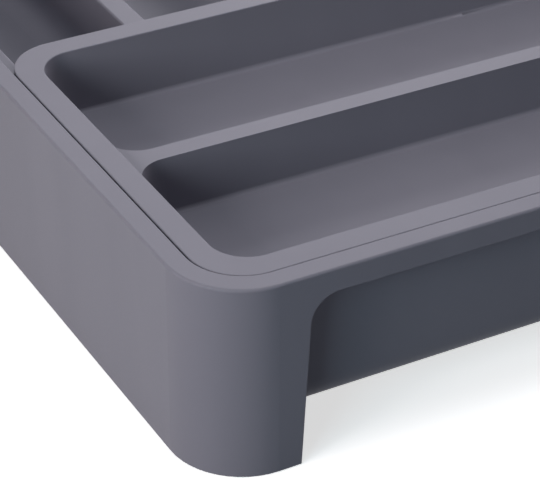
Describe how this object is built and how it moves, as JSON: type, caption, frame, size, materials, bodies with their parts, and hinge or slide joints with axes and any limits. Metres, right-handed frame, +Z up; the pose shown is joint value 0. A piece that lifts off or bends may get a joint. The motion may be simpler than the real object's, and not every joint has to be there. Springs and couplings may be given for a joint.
{
  "type": "cutlery tray",
  "caption": "Two-tier drawer tray for cutlery: a deep compartmented base with a stepped rim and finger arches, and a shallow two-trough tray that slides along its ledges.",
  "frame": {"origin": "on the surface that the feet stand on, under the middle of the tray", "axes": "+X to the right along the front, +Y from the front to the back, the way the sliding tray moves, +Z up"},
  "size_m": [0.317, 0.4, 0.0603],
  "materials": {
    "base_plastic": "fine matte texture",
    "slider_plastic": "fine matte texture",
    "foot_rubber": "soft matte"
  },
  "bodies": {
    "base": {"base_tray": "base_plastic", "foot_front_left": "foot_rubber", "foot_front_right": "foot_rubber", "foot_middle_left": "foot_rubber", "foot_middle_right": "foot_rubber", "foot_back_left": "foot_rubber", "foot_back_right": "foot_rubber"},
    "slider": {"sliding_tray": "slider_plastic"}
  },
  "joints": [
    {"name": "tray_slide", "type": "slide", "parent": "base", "child": "slider", "axis": [0, 1, 0], "range_m": [0, 0.2539]}
  ]
}
